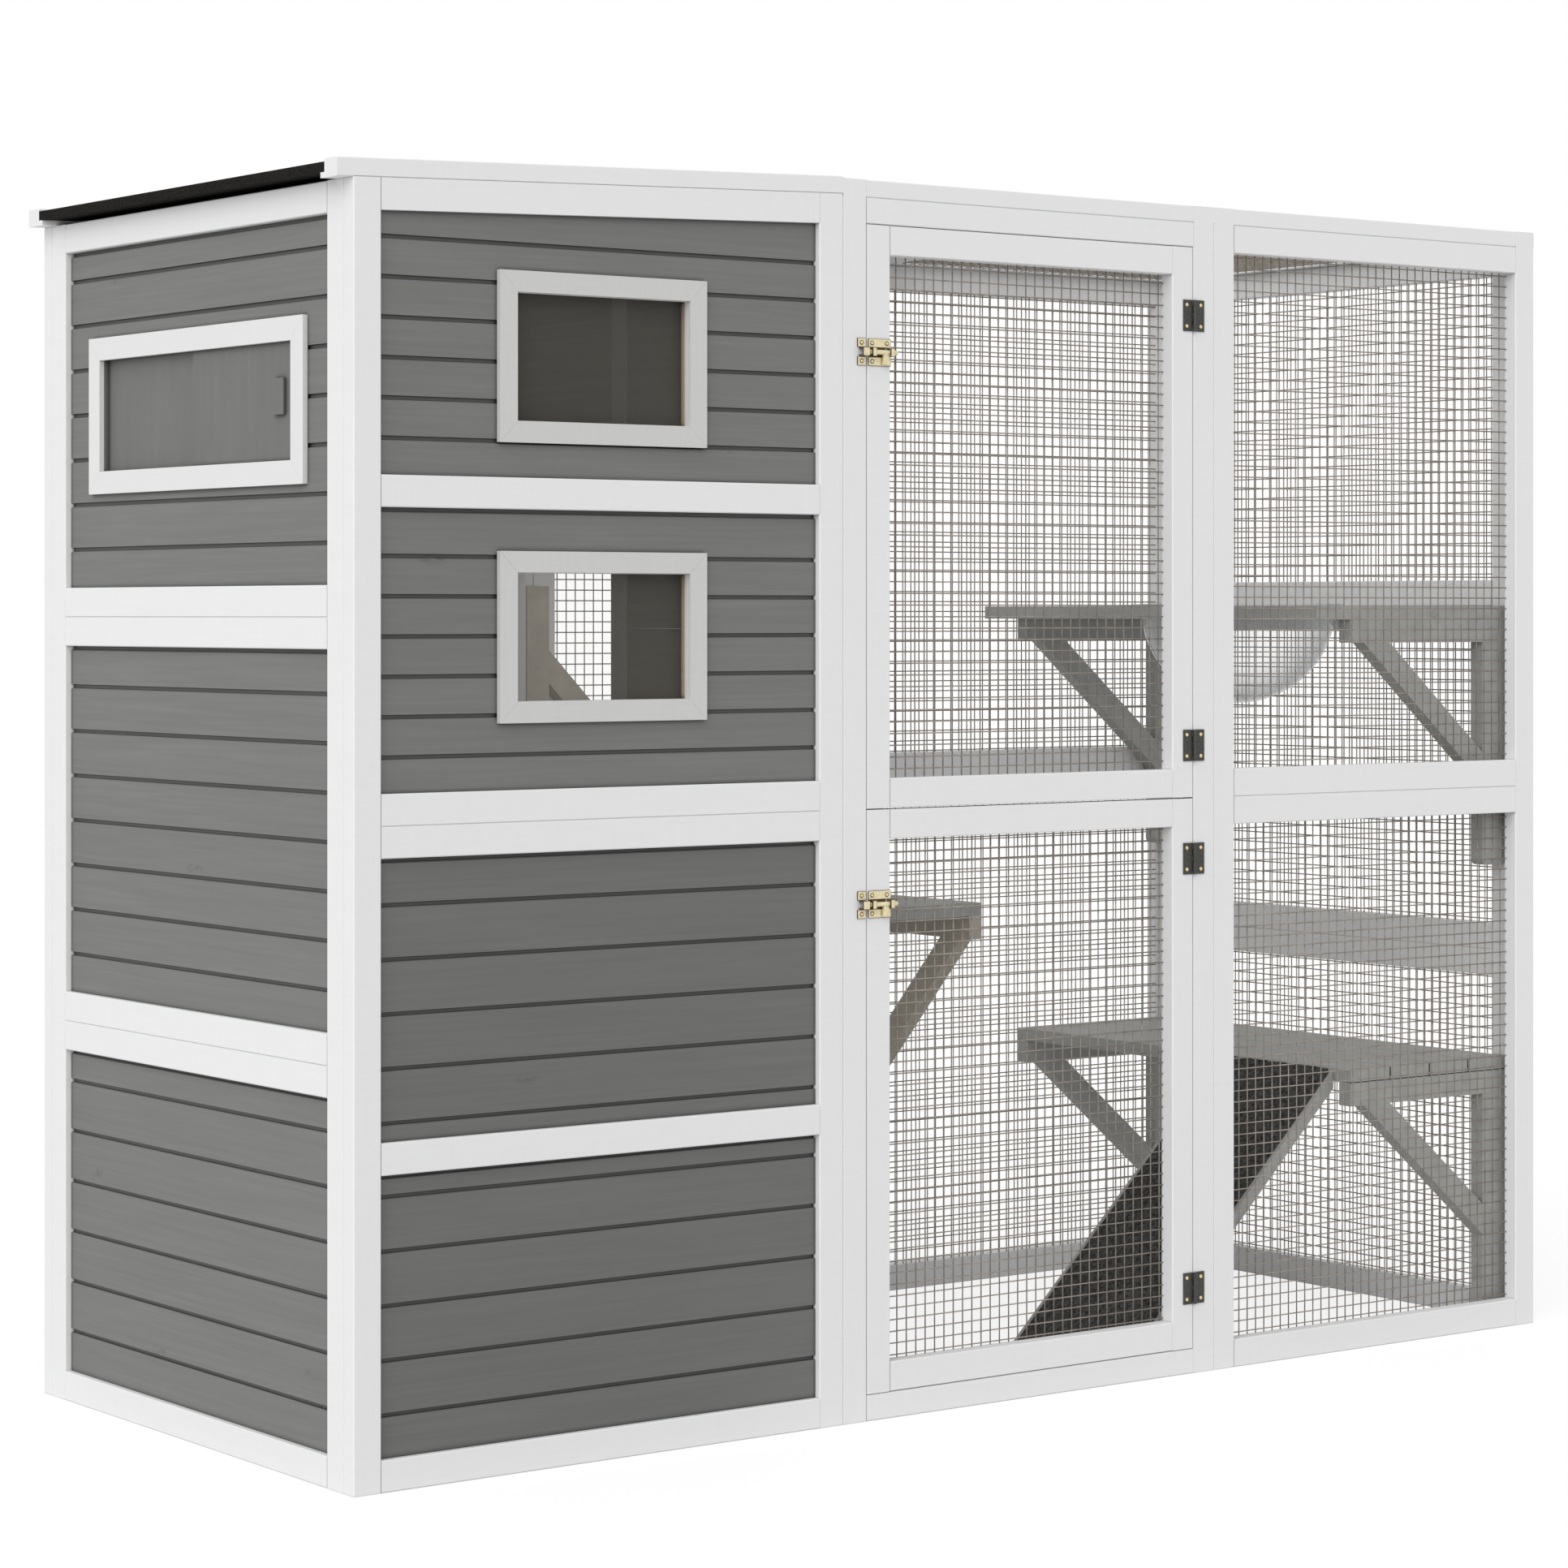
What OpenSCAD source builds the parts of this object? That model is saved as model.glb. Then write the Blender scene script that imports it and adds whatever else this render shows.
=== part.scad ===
// Outdoor cat enclosure: a sided house with a felted lean-to roof, and a wire-mesh run
// with two stacked doors, platforms, a ramp, a step and a clear hanging bowl.
// The front faces -Y, the house is at -X, and the ground is z = 0.

/* [Overall] */
// Length along the front
width = 1800; // [1700:10:2000]
// Depth from the front face to the back face
depth = 700; // [660:10:800]
// Height of each of the two stacked wall panels, in front and behind
panel_h = 700; // [690:5:730]
// Width of the closed house
house_w = 652.5; // [640:2.5:700]
// Width of the door bay, with both its posts
bay_w = 577.5; // [560:2.5:620]

/* [Timber] */
// Face width of every batten
batten_w = 34; // [30:1:38]
// Thickness of every batten and framed panel
batten_t = 20; // [18:1:24]
// Eased corner of the battens
ease = 1; // [0.4:0.1:1.5]
// Hairline gap where one piece of timber meets the next
joint = 0.1; // [0.05:0.05:0.2]

/* [Panel heights] */
// Height of the lowest panel of the house's side wall
side_seam_low = 446; // [430:2:470]
// Height of the top panel of the house's side wall
side_top_panel = 461; // [440:1:480]
// Height of the lowest panel of the run's end wall
end_seam_low = 484; // [470:2:500]
// Height of the top panel of the run's end wall
end_top_panel = 466; // [455:1:475]
// Rise of the upper house panels' middle rail over their middle
high_rail_rise = 2; // [0:1:6]

/* [House roof] */
// Fall of the roof across the house
roof_fall = 21; // [12:1:40]
// Rise of the house wall over the run's wall, where they meet
roof_step = 2; // [0:1:6]
// Overhang past the side wall
roof_over = 20; // [10:1:40]
// Thickness of the felted deck
deck_t = 11; // [8:0.5:13]
// Width of the ledge that carries the deck
ledge_w = 8; // [5:1:12]
// Thickness of that ledge
ledge_t = 6; // [4:1:8]

/* [Siding] */
// Set-back of the boards from the frame's face
recess = 8; // [5:0.5:10]
// Shadow gap above each board
board_gap = 4.6; // [2:0.2:6]
// Bevel on each board's top edge
board_bevel = 1; // [0.5:0.5:3]
// Depth of the shadow gap, down to the tongue
board_lap = 3.5; // [2.5:0.5:7]
// Board height in the upper house panels
pitch_high = 42.5; // [38:0.5:50]
// Board height in the lower house panels and the partition
pitch_low = 57.5; // [50:0.5:65]
// Board height in the upper side panel
pitch_side = 52.3; // [48:0.1:60]
// Board height in the lowest side panel
pitch_side_low = 58.8; // [50:0.1:64]
// Drop from the top of the side wall to the top joint
first_joint_drop = 57; // [50:1:64]

/* [Windows] */
// Left edge of both window openings
window_x = 208; // [180:2:240]
// Window opening width
window_w = 230; // [200:2:260]
// Window opening height
window_h = 139; // [120:1:145]
// Height of the lower window's sill over its panel's foot
window_low_up = 129; // [122:1:136]
// Height of the upper window's sill over the middle rail's underside
window_high_up = 95; // [88:1:102]
// Face width of the window trims
trim_w = 23; // [18:1:28]
// Thickness of all trims
trim_t = 6; // [4:0.5:8]
// Thickness of the clear panes
pane_t = 3; // [2:0.5:4]
// Overlap of a pane behind the boards
pane_lap = 12; // [8:1:18]

/* [Hatch] */
// Front edge of the hatch opening
hatch_y = 133; // [125:1:150]
// Length of the hatch opening
hatch_len = 432; // [400:2:440]
// Height of the hatch's sill over the foot of its panel
hatch_up = 168.5; // [160:0.5:176]
// Height of the hatch opening
hatch_h = 128.5; // [110:0.5:132]
// Face width of the hatch trim
hatch_trim_w = 26; // [22:1:28]
// Thickness of the two leaves
leaf_t = 4; // [3:0.1:4.2]
// Overlap of the two leaves when shut
leaf_lap = 8; // [4:1:14]
// Bearing depth of the leaves in their track
leaf_bite = 7; // [5:0.5:9]
// Width of the track and jambs round the opening
track_w = 12.5; // [11:0.5:14]
// Height of the grip strip on the sliding leaf
grip_h = 39.5; // [30:0.5:60]
// Width of the grip strip
grip_w = 21; // [14:1:30]
// Distance of the grip from the front edge of the opening
grip_inset = 21; // [12:1:40]

/* [Doors] */
// Gap round the doors
door_gap = 0.8; // [0.5:0.1:2]
// Height of the sill and the head rail round the doors
door_sill = 30; // [24:1:36]

/* [Hinges] */
// Height of a hinge leaf
hinge_h = 38; // [30:1:50]
// Reach of each leaf from the pin
hinge_reach = 17; // [14:0.5:22]
// Thickness of the leaves
leaf_plate_t = 1.2; // [1:0.1:1.6]
// Radius of the hinge barrel
barrel_r = 2.4; // [2.2:0.1:2.6]
// Radius of the hinge pin
pin_r = 1.2; // [1:0.1:1.3]
// Distance of the lower door's hinges from its ends
hinge_inset = 73; // [50:1:120]
// Distance of the upper door's bottom hinge from its lower end
upper_hinge_low = 63; // [50:1:120]
// Distance of the upper door's top hinge from its upper end
upper_hinge_high = 83; // [50:1:120]

/* [Latches] */
// Height of the latch plates
latch_h = 31; // [28:1:36]
// Radius of the sliding bolt
bolt_r = 2.75; // [2.25:0.25:3]
// Travel of the bolt
bolt_travel = 12; // [10:0.5:13]
// Length of the knob, turned down from the bolt
knob_len = 14; // [11:0.5:15]
// Width of the knob
knob_w = 8; // [5:0.5:9]
// Drop from the upper door's top to its latch's middle
upper_latch_drop = 146.2; // [110:0.1:200]
// Drop from the lower door's top to its latch's middle
lower_latch_drop = 108.2; // [80:0.1:160]

/* [Mesh] */
// Spacing of the wires that the real mesh has
wire_pitch = 13.5; // [12:0.1:15]
// The mesh is drawn with every so many wires
wire_step = 9; // [6:1:12]
// Diameter of one wire
wire_d = 1.1; // [0.9:0.1:1.6]
// Set-back of the mesh from the frames' inner face
mesh_inset = 2; // [1:0.5:6]

/* [Platforms] */
// Gap between the platforms and the front and back walls
shelf_gap = 10; // [6:1:14]
// Thickness of the platform boards
shelf_t = 17; // [12:0.5:20]
// Depth of the upper platform along the front
upper_reach = 345; // [335:1:360]
// Top of the lower platform
lower_top = 347; // [330:1:370]
// Depth of the lower platform, also the bracket's arm
lower_reach = 285; // [270:1:300]
// Number of planks in the lower platform
plank_count = 4; // [3:1:5]
// Gap between those planks
plank_gap = 1.6; // [1:0.1:3]
// Height of the bracket arms
arm_h = 30; // [26:1:36]
// Width of the bracket legs
leg_w = 44; // [38:1:50]
// Thickness of the brackets
bracket_t = 20; // [16:1:22]
// Width of the diagonal braces
brace_w = 30; // [24:1:34]
// Slope of the diagonal braces, in degrees
brace_slope = 40; // [36:1:44]
// Length of the hanging legs under the upper platform
upper_leg_h = 290; // [260:5:320]
// Rounding at the foot of those legs
leg_round = 8; // [4:1:12]

/* [Bowl] */
// Outer radius of the clear bowl
bowl_r = 130; // [120:1:134]
// Thickness of the bowl's wall
bowl_wall = 3; // [2.5:0.5:5]
// Width of the bowl's rim, on the board
bowl_rim = 12; // [8:1:16]

/* [Ramp and step] */
// Width of the ramp
ramp_w = 210; // [180:5:240]
// Distance of the ramp from the front wall's outer face
ramp_y = 60; // [40:2:80]
// Thickness of the ramp's board
ramp_t = 15; // [10:1:18]
// Slope of the ramp, in degrees
ramp_slope = 43.5; // [41:0.5:46]
// Thickness of the carpet on it
carpet_t = 4; // [3:0.5:6]
// Top of the step
step_top = 550; // [530:1:570]
// Depth of the step, from the back wall
step_reach = 290; // [270:2:310]
// Height of the hanger's leg, over the step
hanger_h = 409; // [380:1:430]

/* [Partition and floors] */
// Width of the two doorways through the partition
doorway_w = 215; // [200:5:230]
// Thickness of the house floors
floor_t = 9; // [6:1:12]
// Side of the bearers under the floors
bearer = 20; // [16:1:24]
// Height of the top floor's underside over that of the middle rail
top_floor_up = 4; // [0:1:8]
// Width and depth of the climbing gap in the top floor
climb = 220; // [200:5:230]

/* [Hidden] */

white = "#ECEDEE";
grey = "#7A7A77";
shelf_grey = "#969896";
felt = "#282624";
brass = "#E6CF8E";
steel = "#46463F";
wire = "#8A7F74";

front_seam = panel_h;
wall_h = 2 * panel_h;
house_high_h = wall_h + roof_step;
house_low_h = house_high_h - roof_fall;
side_seam_high = house_low_h - side_top_panel;
end_seam_high = wall_h - end_top_panel;
low_rail_z = (panel_h - batten_w) / 2;
high_rail_z = (front_seam + house_high_h - batten_w) / 2 + high_rail_rise;
first_joint_z = house_low_h - first_joint_drop;
window_low_z = front_seam + window_low_up;
window_high_z = high_rail_z + window_high_up;
hatch_z = side_seam_high + hatch_up;
top_floor_z = high_rail_z + top_floor_up;
// The upper platform's top lies at the seam of the end wall
upper_top = end_seam_high;

run_x = house_w + bay_w;
post_right = run_x - batten_w;
post_left = house_w + batten_w;
inner_depth = depth - 2 * batten_t;
end_x = width - batten_t;

// The roof slopes down towards the outer side of the house
function roof_line(x) = house_low_h + (house_high_h - house_low_h) * x / house_w;

// The origin is the bottom centre of the whole object's box, from the latch keepers to the back
module place() translate([(roof_over - width) / 2, (latch_reach - depth) / 2, 0]) children();

// The walls are drawn as the front wall is, in X and Z, and turned to their places
module on_back() translate([0, depth, 0]) mirror([0, 1, 0]) children();
module on_side() mirror([1, -1, 0]) children();
module on_end() translate([width, 0, 0]) mirror([1, 0, 0]) mirror([1, -1, 0]) children();
module on_partition() translate([house_w, 0, 0]) mirror([1, 0, 0]) mirror([1, -1, 0]) children();
module on_roof() translate([0, 0, wall_h + batten_t]) mirror([0, 1, -1]) mirror([0, 1, 0]) children();

// A rectangle with eased corners, the section of every batten
module section(a, b) polygon([
    [ease, 0], [a - ease, 0], [a, ease], [a, b - ease],
    [a - ease, b], [ease, b], [0, b - ease], [0, ease]
]);

module upright(x, z, h) translate([x, 0, z]) linear_extrude(h) section(batten_w, batten_t);

// A rail that runs from x to x + len, with a hairline gap at both ends
module rail(x, z, len, h = batten_w) translate([x + joint, 0, z]) rotate([90, 0, 90])
    linear_extrude(len - 2 * joint) section(batten_t, h);

// Two uprights with rails between them, and more rails at the heights in mid
module panel(x, z, w, h, mid = []) {
    for (side = [0, w - batten_w]) upright(x + side, z, h);
    for (up = concat([0, h - batten_w], mid)) rail(x + batten_w, z + up, w - 2 * batten_w);
}

// The space under the sloping roof, lowered by drop
module under_roof(drop = 0) {
    out = roof_over + 10;
    translate([0, depth + out, 0]) rotate([90, 0, 0]) linear_extrude(depth + 2 * out)
        polygon([
            [-out, 0], [house_w + out, 0],
            [house_w + out, roof_line(house_w + out) - drop], [-out, roof_line(-out) - drop]
        ]);
}

// One siding board, with a bevel and a shadow gap along its top
module board(x0, x1, z0, z1) {
    h = z1 - z0 - joint;
    gap = min(board_gap, h / 5);
    bevel = min(board_bevel, h / 5);
    translate([x0 + joint, 0, z0]) rotate([90, 0, 90]) linear_extrude(x1 - x0 - 2 * joint) polygon([
        [recess, 0], [recess, h - gap - bevel], [recess + bevel, h - gap],
        [recess + board_lap, h - gap], [recess + board_lap, h], [batten_t, h], [batten_t, 0]
    ]);
}

// Boards from z0 up to z1, joints counted down from the first, round an opening if there is one
module siding(x0, x1, z0, z1, first, pitch, opening = undef) {
    joints = concat([z1], [for (z = first; z > z0 + pitch / 8; z = z - pitch) z], [z0]);
    for (i = [0 : len(joints) - 2]) let (top = joints[i], low = joints[i + 1]) {
        if (is_undef(opening) || low >= opening[3] || top <= opening[2]) board(x0, x1, low, top);
        else {
            board(x0, opening[0], low, top);
            board(opening[1], x1, low, top);
            if (low < opening[2]) board(opening[0], opening[1], low, opening[2]);
            if (top > opening[3]) board(opening[0], opening[1], opening[3], top);
        }
    }
}

// Four mitred strips round an opening, each a hairline from the next
module trim(x0, x1, z0, z1, w) {
    inner = [[x0, z0], [x1, z0], [x1, z1], [x0, z1]];
    outer = [[x0 - w, z0 - w], [x1 + w, z0 - w], [x1 + w, z1 + w], [x0 - w, z1 + w]];
    outward = [[0, -1], [1, 0], [0, 1], [-1, 0]];
    translate([0, recess, 0]) rotate([90, 0, 0]) linear_extrude(trim_t) for (i = [0 : 3])
        let (j = (i + 1) % 4)
            translate(joint * outward[i]) polygon([outer[i], outer[j], inner[j], inner[i]]);
}

// A flat net that fills an opening: one wire in every wire_step is drawn
module net(x, z, w, h) {
    across = round(w / (wire_pitch * wire_step));
    up = round(h / (wire_pitch * wire_step));
    cell = [(w - wire_d) / across, (h - wire_d) / up];
    translate([x, batten_t - mesh_inset, z]) rotate([90, 0, 0]) linear_extrude(2 * wire_d)
        difference() {
            square([w, h]);
            for (i = [0 : across - 1], j = [0 : up - 1])
                translate([wire_d + i * cell.x, wire_d + j * cell.y])
                    square([cell.x - wire_d, cell.y - wire_d]);
        }
}

module panel_net(x, z, w, h)
    net(x + batten_w, z + batten_w, w - 2 * batten_w, h - 2 * batten_w);

// House, front and back
module house_lower_panel() panel(0, 0, house_w, front_seam, [low_rail_z]);

module house_upper_panel() {
    intersection() {
        for (x = [0, house_w - batten_w]) upright(x, front_seam, house_high_h - front_seam);
        under_roof();
    }
    for (z = [front_seam, high_rail_z]) rail(batten_w, z, house_w - 2 * batten_w);
    difference() {
        intersection() {
            translate([batten_w + joint, 0, first_joint_z])
                cube([house_w - 2 * (batten_w + joint), batten_t, wall_h]);
            under_roof();
        }
        under_roof(batten_w);
    }
}

module house_siding(low_window = undef, high_window = undef) {
    left = batten_w;
    right = house_w - batten_w;
    siding(left, right, batten_w, low_rail_z, low_rail_z - 21, pitch_low);
    siding(left, right, low_rail_z + batten_w, front_seam - batten_w, front_seam - batten_w - 47, pitch_low);
    siding(left, right, front_seam + batten_w, high_rail_z, high_rail_z - 49, pitch_high, low_window);
    siding(left, right, high_rail_z + batten_w, first_joint_z, first_joint_z - pitch_high, pitch_high,
        high_window);
    intersection() {
        board(left, right, first_joint_z, house_high_h);
        under_roof(batten_w + joint);
    }
}

module house_front_lower_frame() color(white) place() house_lower_panel();
module house_front_upper_frame() color(white) place() house_upper_panel();
module house_back_lower_frame() color(white) place() on_back() house_lower_panel();
module house_back_upper_frame() color(white) place() on_back() house_upper_panel();
module house_back_siding() color(grey) place() on_back() house_siding();

function window(z) = [window_x, window_x + window_w, z, z + window_h];

module house_front_siding() color(grey) place() house_siding(window(window_low_z), window(window_high_z));

module window_trims() color("#C8C9C8") place()
    for (z = [window_low_z, window_high_z]) trim(window_x, window_x + window_w, z, z + window_h, trim_w);

module window_panes() color([0.85, 0.9, 0.92, 0.35]) place()
    for (z = [window_low_z, window_high_z])
        translate([window_x - pane_lap, batten_t, z - pane_lap])
            cube([window_w + 2 * pane_lap, pane_t, window_h + 2 * pane_lap]);

// House, outer side: three stacked panels between the front and the back
module side_panel(z0, z1) panel(batten_t, z0, inner_depth, z1 - z0);

module side_lower_frame() color(white) place() on_side() side_panel(0, side_seam_low);
module side_middle_frame() color(white) place() on_side() side_panel(side_seam_low, side_seam_high);
module side_upper_frame() color(white) place() on_side() side_panel(side_seam_high, house_low_h);

hatch_cut = [
    hatch_y - track_w, hatch_y + hatch_len + track_w, hatch_z - track_w, hatch_z + hatch_h + track_w
];

module side_siding() color(grey) place() on_side() {
    near = batten_t + batten_w;
    far = depth - near;
    siding(near, far, batten_w, side_seam_low - batten_w, side_seam_low - batten_w - 34, pitch_side_low);
    siding(near, far, side_seam_low + batten_w, side_seam_high - batten_w,
        side_seam_high - batten_w - 45, pitch_side);
    siding(near, far, side_seam_high + batten_w, house_low_h - batten_w, house_low_h - batten_w - 32,
        pitch_side, hatch_cut);
}

module hatch_trim() color("#E1E2E1") place() on_side()
    trim(hatch_y, hatch_y + hatch_len, hatch_z, hatch_z + hatch_h, hatch_trim_w);

// The track has two grooves, the outer for the sliding leaf and the inner for the fixed one
groove_play = 0.3;
groove_w = leaf_t + 2 * groove_play;
groove_wall = (batten_t - recess - 2 * groove_w) / 3;
outer_leaf_x = recess + groove_wall + groove_play;
inner_leaf_x = outer_leaf_x + groove_w + groove_wall;
leaf_z = hatch_z - leaf_bite;
leaf_h = hatch_h + 2 * leaf_bite - groove_play;
leaf_len = hatch_len / 2 + leaf_lap;

module track_strip() difference() {
    square([batten_t - recess, track_w]);
    for (i = [1, 2])
        translate([i * groove_wall + (i - 1) * groove_w, track_w - leaf_bite - groove_play])
            square([groove_w, track_w]);
}

module hatch_track() color(shelf_grey) place() {
    length = hatch_len + 2 * track_w;
    translate([recess, hatch_y - track_w + length, hatch_z - track_w]) rotate([90, 0, 0])
        linear_extrude(length) track_strip();
    translate([recess, hatch_y - track_w + length, hatch_z + hatch_h + track_w]) rotate([90, 0, 0])
        linear_extrude(length) mirror([0, 1, 0]) track_strip();
    for (y = [hatch_y - track_w, hatch_y + hatch_len])
        translate([recess, y, hatch_z + joint]) cube([batten_t - recess, track_w, hatch_h - 2 * joint]);
}

module hatch_leaf(x, y) translate([x, y, leaf_z]) cube([leaf_t, leaf_len, leaf_h]);

module hatch_fixed_leaf() color(grey) place() hatch_leaf(inner_leaf_x, hatch_y + hatch_len - leaf_len);
module hatch_sliding_leaf() color(grey) place() hatch_leaf(outer_leaf_x, hatch_y + groove_play);

module hatch_grip() color(grey) place() {
    thick = 4.5;
    low = (hatch_h - grip_h) / 2 + 5.5;
    translate([outer_leaf_x - thick, hatch_y + grip_inset, hatch_z + low]) linear_extrude(grip_h)
        polygon([[0, ease], [ease, 0], [thick, 0], [thick, grip_w], [ease, grip_w], [0, grip_w - ease]]);
}

// House roof: two rebated battens on the sloping wall tops, and a felted deck on their ledges.
// A section in Y and Z runs along the slope, a hairline over the wall tops, with plumb ends
module along_roof() {
    slope = atan((house_high_h - house_low_h) / house_w);
    intersection() {
        translate([0, 0, house_low_h + joint]) rotate([0, -slope, 0]) translate([-2 * roof_over - 1, 0, 0])
            rotate([90, 0, 90]) linear_extrude(house_w + 4 * roof_over + 2) children();
        translate([-roof_over, 0, front_seam]) cube([house_w + roof_over, depth, wall_h]);
    }
}

deck_y = batten_w - ledge_w;

module roof_batten() along_roof() polygon([
    [ease, 0], [batten_w, 0], [batten_w, ledge_t], [deck_y, ledge_t], [deck_y, batten_t - ease],
    [deck_y - ease, batten_t], [ease, batten_t], [0, batten_t - ease], [0, ease]
]);

module roof_battens() color(white) place() {
    roof_batten();
    on_back() roof_batten();
}

module roof_deck() color(felt) place() along_roof()
    translate([deck_y + joint, ledge_t]) square([depth - 2 * (deck_y + joint), deck_t]);

// Partition between the house and the run, with a doorway at each of the lower two floors
door_near = depth - batten_t - batten_w - doorway_w;
door_far = depth - batten_t - batten_w;
low_door_top = 394;
high_door_sill = front_seam + batten_w / 2;
high_door_top = top_floor_z - batten_w;
partition_near = batten_t + batten_w;
partition_mid = door_near - batten_w;

module partition_frame() color(white) place() on_partition() {
    for (y = [batten_t, partition_mid, door_far]) upright(y, 0, wall_h);
    for (z = [0, front_seam - batten_w / 2, wall_h - batten_w])
        rail(partition_near, z, partition_mid - partition_near);
    for (z = [0, low_door_top, high_door_sill - batten_w, high_door_top, wall_h - batten_w])
        rail(door_near, z, doorway_w);
}

module partition_siding() color(grey) place() on_partition() {
    for (part = [
        [partition_near, partition_mid, batten_w, front_seam - batten_w / 2],
        [partition_near, partition_mid, front_seam + batten_w / 2, wall_h - batten_w],
        [door_near, door_far, low_door_top + batten_w, high_door_sill - batten_w],
        [door_near, door_far, high_door_top + batten_w, wall_h - batten_w]
    ]) siding(part[0], part[1], part[2], part[3], part[3] - pitch_low, pitch_low);
}

// Two floors on bearers; the top one leaves a climbing gap at the back, by the partition
module house_floors() color(shelf_grey) place() {
    room_w = house_w - 2 * batten_t;
    for (z = [front_seam, top_floor_z], y = [batten_t, depth - batten_t - bearer])
        translate([batten_t, y, z - joint - bearer]) cube([room_w, bearer, bearer]);
    translate([batten_t, batten_t, front_seam]) cube([room_w, inner_depth, floor_t]);
    translate([batten_t, batten_t, top_floor_z]) cube([room_w, inner_depth - climb - joint, floor_t]);
    translate([batten_t, depth - batten_t - climb, top_floor_z]) cube([room_w - climb, climb, floor_t]);
}

// Door bay: two posts with a sill and a head rail, the same behind with mesh panels
module bay_posts(z0, z1) for (x = [house_w, post_right]) upright(x, z0, z1 - z0);

module bay_front_lower_frame() color(white) place() {
    bay_posts(0, front_seam);
    rail(post_left, 0, post_right - post_left, door_sill);
}

module bay_front_upper_frame() color(white) place() {
    bay_posts(front_seam, wall_h);
    rail(post_left, wall_h - door_sill, post_right - post_left, door_sill);
}

module bay_back_frame(z0, z1) {
    bay_posts(z0, z1);
    panel(post_left + joint, z0, post_right - post_left - 2 * joint, z1 - z0);
}

module bay_back_lower_frame() color(white) place() on_back() bay_back_frame(0, front_seam);
module bay_back_upper_frame() color(white) place() on_back() bay_back_frame(front_seam, wall_h);

// Run: mesh panels in front, behind and at the end
run_w = width - run_x;
module run_panel(z0, z1) panel(run_x, z0, run_w, z1 - z0);

module run_front_lower_frame() color(white) place() run_panel(0, front_seam);
module run_front_upper_frame() color(white) place() run_panel(front_seam, wall_h);
module run_back_lower_frame() color(white) place() on_back() run_panel(0, front_seam);
module run_back_upper_frame() color(white) place() on_back() run_panel(front_seam, wall_h);

module end_lower_frame() color(white) place() on_end() side_panel(0, end_seam_low);
module end_middle_frame() color(white) place() on_end() side_panel(end_seam_low, end_seam_high);
module end_upper_frame() color(white) place() on_end() side_panel(end_seam_high, wall_h);

// Flat roof frames: side battens run the full depth
module bay_roof_frame() color(white) place() on_roof() panel(house_w, 0, bay_w, depth);
module run_roof_frame() color(white) place() on_roof() panel(run_x, 0, run_w, depth);

module front_nets() color(wire) place() {
    panel_net(run_x, 0, run_w, front_seam);
    panel_net(run_x, front_seam, run_w, wall_h - front_seam);
}

module back_nets() color(wire) place() on_back()
    for (z = [[0, front_seam], [front_seam, wall_h]]) {
        panel_net(post_left + joint, z[0], post_right - post_left - 2 * joint, z[1] - z[0]);
        panel_net(run_x, z[0], run_w, z[1] - z[0]);
    }

module end_nets() color(wire) place() on_end()
    for (z = [[0, end_seam_low], [end_seam_low, end_seam_high], [end_seam_high, wall_h]])
        panel_net(batten_t, z[0], inner_depth, z[1] - z[0]);

module roof_nets() color(wire) place() on_roof() {
    panel_net(house_w, 0, bay_w, depth);
    panel_net(run_x, 0, run_w, depth);
}

// Doors
door_x = post_left + door_gap;
door_w = post_right - post_left - 2 * door_gap;
upper_door_z = front_seam + door_gap;
upper_door_h = wall_h - door_sill - door_gap - upper_door_z;
lower_door_z = door_sill + door_gap;
lower_door_h = front_seam - door_gap - lower_door_z;

latch_high_z = upper_door_z + upper_door_h - upper_latch_drop;
latch_low_z = lower_door_z + lower_door_h - lower_latch_drop;

module upper_door_frame() color(white) place() panel(door_x, upper_door_z, door_w, upper_door_h);
module lower_door_frame() color(white) place() panel(door_x, lower_door_z, door_w, lower_door_h);
module upper_door_net() color(wire) place() panel_net(door_x, upper_door_z, door_w, upper_door_h);
module lower_door_net() color(wire) place() panel_net(door_x, lower_door_z, door_w, lower_door_h);

// Butt hinges on the face: five knuckles round one pin, three on the post and two on the door
hinge_x = post_right - door_gap / 2;
hinge_y = -barrel_r - 0.2;
knuckle = hinge_h / 5;
knuckle_gap = 0.15;
barrel_clear = 0.3;
pin_play = 0.2;
upper_hinges = [upper_door_z + upper_hinge_low, upper_door_z + upper_door_h - upper_hinge_high];
lower_hinges = [lower_door_z + hinge_inset, lower_door_z + lower_door_h - hinge_inset];

// A leaf to the right of the pin, with the knuckles whose numbers are given
module hinge_leaf(z, knuckles, bore) {
    near = barrel_r + barrel_clear;
    translate([near, -leaf_plate_t, z - hinge_h / 2]) cube([hinge_reach - near, leaf_plate_t, hinge_h]);
    for (k = knuckles) translate([0, 0, z - hinge_h / 2 + k * knuckle + knuckle_gap])
        difference() {
            union() {
                translate([0, hinge_y, 0]) cylinder(r = barrel_r, h = knuckle - 2 * knuckle_gap, $fn = 16);
                translate([0, -leaf_plate_t, 0]) cube([near, leaf_plate_t, knuckle - 2 * knuckle_gap]);
            }
            translate([0, hinge_y, -1]) cylinder(r = bore, h = knuckle + 2, $fn = 16);
        }
}

module post_hinge_leaves() color(steel) place() translate([hinge_x, 0, 0])
    for (z = concat(upper_hinges, lower_hinges)) {
        hinge_leaf(z, [0, 2, 4], pin_r);
        translate([0, hinge_y, z - hinge_h / 2]) cylinder(r = pin_r, h = hinge_h, $fn = 16);
    }

module door_hinge_leaves(heights) translate([hinge_x, 0, 0]) mirror([1, 0, 0])
    for (z = heights) hinge_leaf(z, [1, 3], pin_r + pin_play);

module upper_door_hinge_leaves() color(steel) place() door_hinge_leaves(upper_hinges);
module lower_door_hinge_leaves() color(steel) place() door_hinge_leaves(lower_hinges);

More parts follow.
